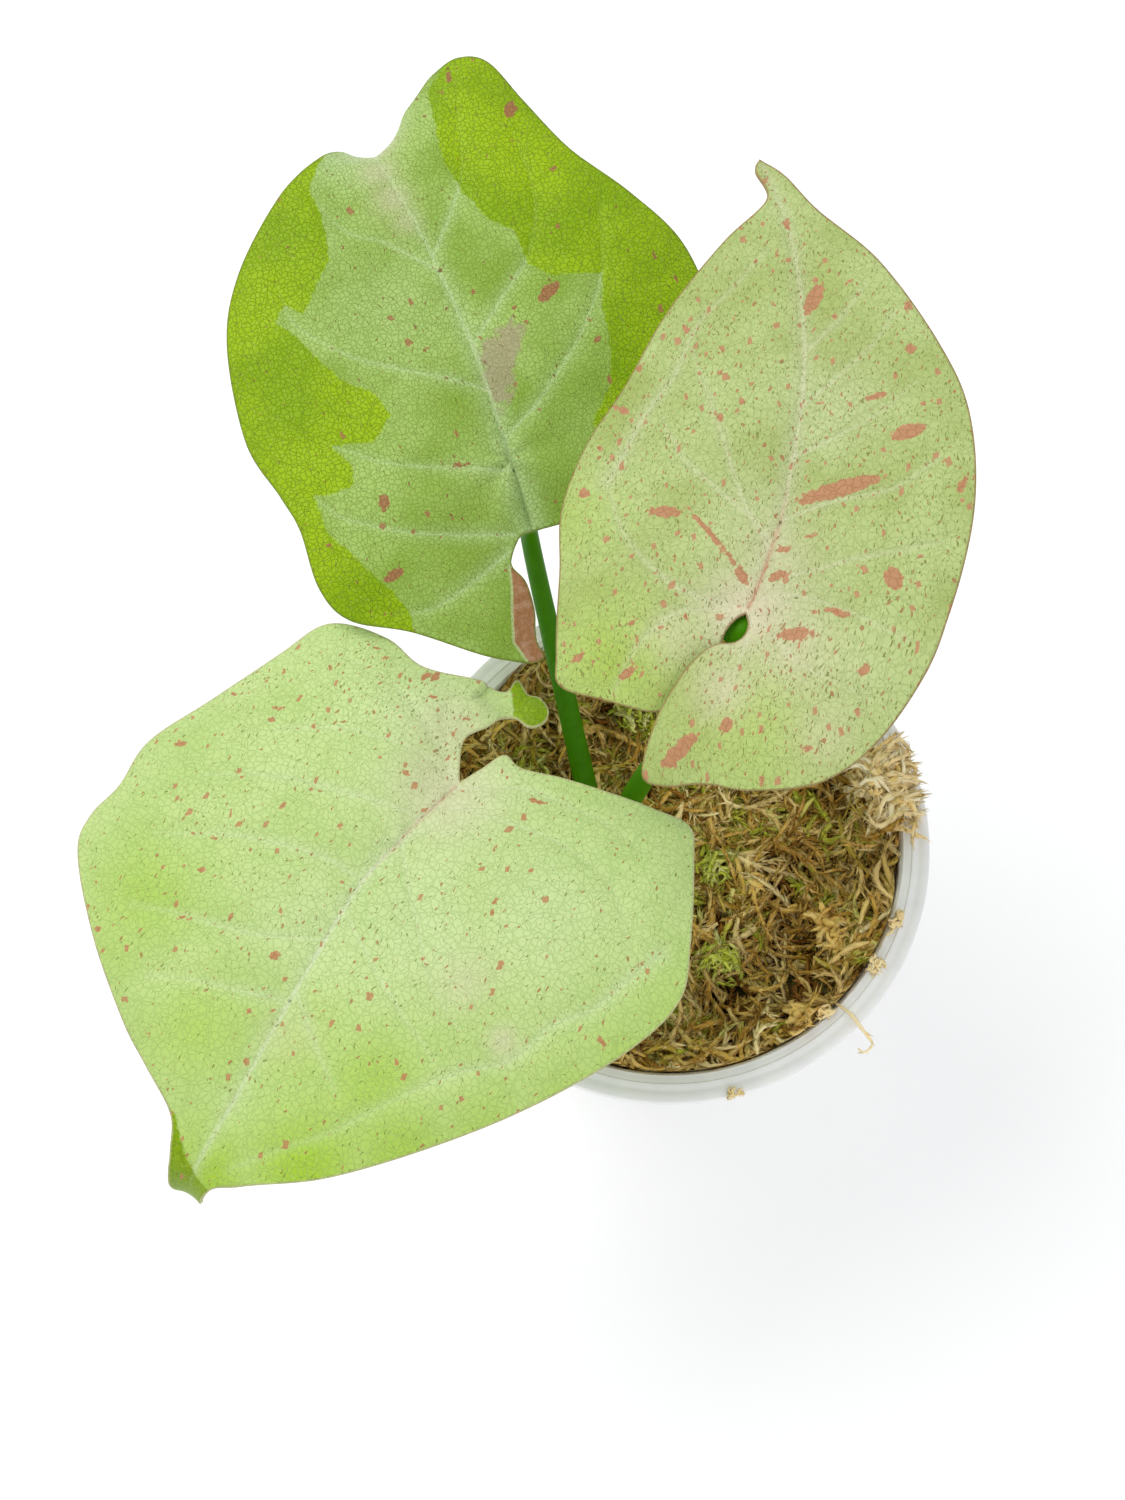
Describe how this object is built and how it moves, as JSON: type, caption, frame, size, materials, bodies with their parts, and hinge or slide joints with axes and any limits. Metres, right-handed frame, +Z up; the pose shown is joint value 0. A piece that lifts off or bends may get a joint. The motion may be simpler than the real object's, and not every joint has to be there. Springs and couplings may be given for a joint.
{
  "type": "arrowhead plant in nursery pot",
  "caption": "Young arrowhead plant with broad pale green, pink-flecked leaves on slim stalks, growing from moss in a small round plastic nursery cup.",
  "frame": {"origin": "centre of the flat underside of the pot, where the plant stands", "axes": "+Z up along the pot's axis, +Y towards the back leaf, +X to the right of the plant as the front leaf's side is looked at"},
  "size_m": [0.1308, 0.1712, 0.1527],
  "materials": {
    "pot_plastic": "thin milky thermoformed plastic",
    "dry_moss": "dried long-fibre sphagnum moss, straw to brown, matt",
    "green_moss": "live yellow-green moss, matt",
    "stem_skin": "smooth green stem",
    "stalk_skin": "smooth glossy deep green leaf stalk",
    "leaf_skin": "satin leaf, milky pale green with lime and pink variegation"
  },
  "bodies": {
    "root": {"pot": "pot_plastic", "moss_bed": "dry_moss", "moss_tuft_back_left": "green_moss", "moss_tuft_back": "green_moss", "moss_tuft_middle": "green_moss", "moss_tuft_front": "green_moss", "stem": "stem_skin", "petiole_back": "stalk_skin", "petiole_right": "stalk_skin", "petiole_front": "stalk_skin", "leaf_back": "leaf_skin", "leaf_right": "leaf_skin", "leaf_front": "leaf_skin"}
  },
  "joints": []
}
